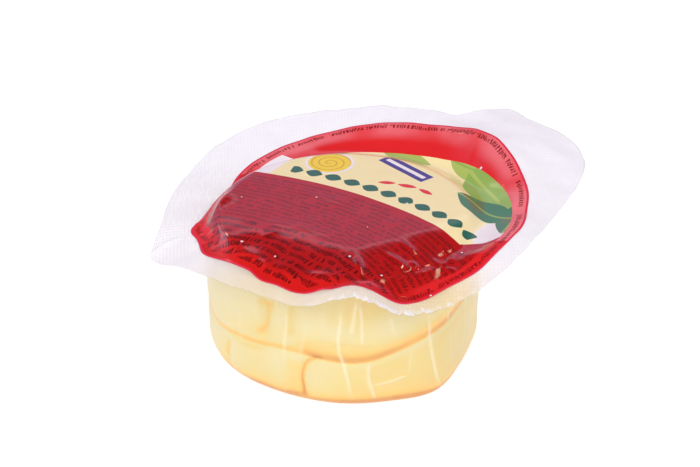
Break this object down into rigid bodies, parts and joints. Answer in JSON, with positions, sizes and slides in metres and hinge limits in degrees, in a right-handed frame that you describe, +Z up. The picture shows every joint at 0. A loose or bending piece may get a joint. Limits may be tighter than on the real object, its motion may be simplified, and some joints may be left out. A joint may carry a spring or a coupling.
{
  "type": "sealed parenica cheese",
  "caption": "Parenica cheese, a steamed strip wound in stacked coils, sealed in a clear formed pouch under a printed lid film with a wide wavy flange.",
  "frame": {"origin": "middle of the flat foot, on the cheese's axis, on the surface that the pack stands on", "axes": "+Z up, +X to the right seen from the front and along the flange's longest reach, -Y towards the front"},
  "size_m": [0.1048, 0.0919, 0.041],
  "materials": {
    "cheese": "moist butter-yellow cheese under clinging clear film",
    "lid_film": "glossy printed film, red with cream and green fields, running out to a milky embossed flange",
    "pouch_film": "clear clinging pouch film, glossy, with fine upright creases",
    "flange_film": "milky welded flange film with a fine embossed grid"
  },
  "bodies": {
    "root": {"cheese_pouch": "cheese", "lid_film": "lid_film"}
  },
  "joints": []
}
